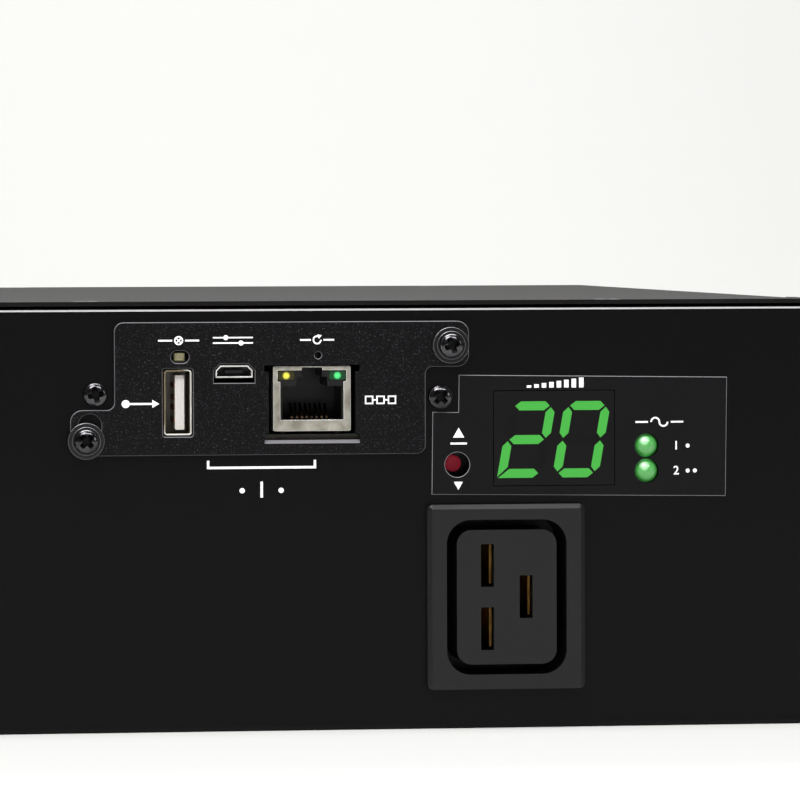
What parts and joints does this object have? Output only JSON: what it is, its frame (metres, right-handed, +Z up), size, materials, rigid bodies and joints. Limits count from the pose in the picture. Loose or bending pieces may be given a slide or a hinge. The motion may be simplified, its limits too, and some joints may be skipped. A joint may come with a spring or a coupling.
{
  "type": "rack power distribution unit",
  "caption": "Rack-mount power distribution unit with a load meter, two supply inlets, rows of outlets and a network card behind its own face plate.",
  "frame": {"origin": "middle of the underside of the case", "axes": "+X to the right seen from the front, +Y towards the rear, +Z up"},
  "size_m": [0.4826, 0.3143, 0.088],
  "materials": {
    "case_paint": "black powder coat, fine texture, satin",
    "plate_paint": "black powder coat, slightly rougher",
    "black_steel": "black oxide steel, glossy",
    "zinc_sheet": "zinc plated sheet",
    "zinc_screw": "zinc plated",
    "nickel_brass": "nickel plated brass",
    "blade_brass": "plated brass",
    "contact_brass": "brass",
    "gold_contact": "gold plated",
    "port_steel": "tin plated steel",
    "outlet_plastic": "black moulded nylon",
    "port_plastic": "black moulded plastic",
    "switch_plastic": "black moulded plastic",
    "display_plastic": "black epoxy face",
    "label_film": "black polycarbonate film",
    "lit_green": "lit segment",
    "unlit_bar": "unlit segment under a dark filter",
    "lamp_green": "green tinted epoxy lens, lit",
    "lan_green": "green tinted lens",
    "lan_yellow": "yellow tinted lens",
    "status_lens": "pale yellow lens",
    "red_cap": "dark red cap",
    "tongue_white": "white moulded plastic",
    "guide_plastic": "natural nylon",
    "board_green": "green solder mask",
    "relay_plastic": "black sealed case",
    "terminal_plastic": "green moulded plastic",
    "transformer": "varnished steel laminations with wound coil",
    "coil_plastic": "blue cast resin",
    "header_plastic": "black moulded plastic",
    "ribbon_grey": "grey vinyl ribbon",
    "lead_line": "brown vinyl insulation",
    "lead_neutral": "blue vinyl insulation",
    "lead_earth": "green and yellow vinyl insulation"
  },
  "bodies": {
    "unit": {"board_screws": "zinc_screw", "card_board": "board_green", "card_cage": "zinc_sheet", "card_collars": "black_steel", "card_guides": "guide_plastic", "card_plate": "plate_paint", "card_screws": "black_steel", "card_spacers": "nickel_brass", "card_upper_board": "board_green", "chassis": "case_paint", "config_port_shell": "port_steel", "config_port_tongue": "port_plastic", "control_transformer": "transformer", "cover_screws": "black_steel", "current_coils": "coil_plastic", "display_bars_lit": "lit_green", "display_bars_unlit": "unlit_bar", "display_board": "board_green", "display_label": "label_film", "display_module": "display_plastic", "display_posts": "nickel_brass", "ear_left": "case_paint", "ear_right": "case_paint", "ear_screws": "black_steel", "earth_leads": "lead_earth", "earth_lug": "zinc_sheet", "inlet_blades": "blade_brass", "inlet_primary": "outlet_plastic", "inlet_screws": "black_steel", "inlet_secondary": "outlet_plastic", "lamp_primary": "lamp_green", "lamp_secondary": "lamp_green", "lan_contacts": "gold_contact", "lan_insert": "port_plastic", "lan_lamp_green": "lan_green", "lan_lamp_yellow": "lan_yellow", "lan_shield": "port_steel", "large_outlet": "outlet_plastic", "large_outlet_contacts": "contact_brass", "line_leads": "lead_line", "neutral_leads": "lead_neutral", "outlet_bank_lower": "outlet_plastic", "outlet_bank_upper": "outlet_plastic", "outlet_busbars": "contact_brass", "range_switch": "switch_plastic", "reset_switch": "switch_plastic", "ribbon_headers": "header_plastic", "ribbons": "ribbon_grey", "slot_screws": "black_steel", "status_lamp": "status_lens", "terminals": "terminal_plastic", "top_cover": "case_paint", "transfer_board": "board_green", "transfer_relays": "relay_plastic", "transfer_standoffs": "zinc_screw", "usb_contacts": "gold_contact", "usb_shell": "port_steel", "usb_tongue": "tongue_white"},
    "range_cap": {"range_button": "red_cap"},
    "reset_plunger": {"reset_button": "switch_plastic"}
  },
  "joints": [
    {"name": "range_press", "type": "slide", "parent": "unit", "child": "range_cap", "axis": [0, 1, 0], "range_m": [0, 0.0003], "stiffness_N_per_m": 1500},
    {"name": "reset_press", "type": "slide", "parent": "unit", "child": "reset_plunger", "axis": [0, 1, 0], "range_m": [0, 0.00025], "stiffness_N_per_m": 1500}
  ]
}
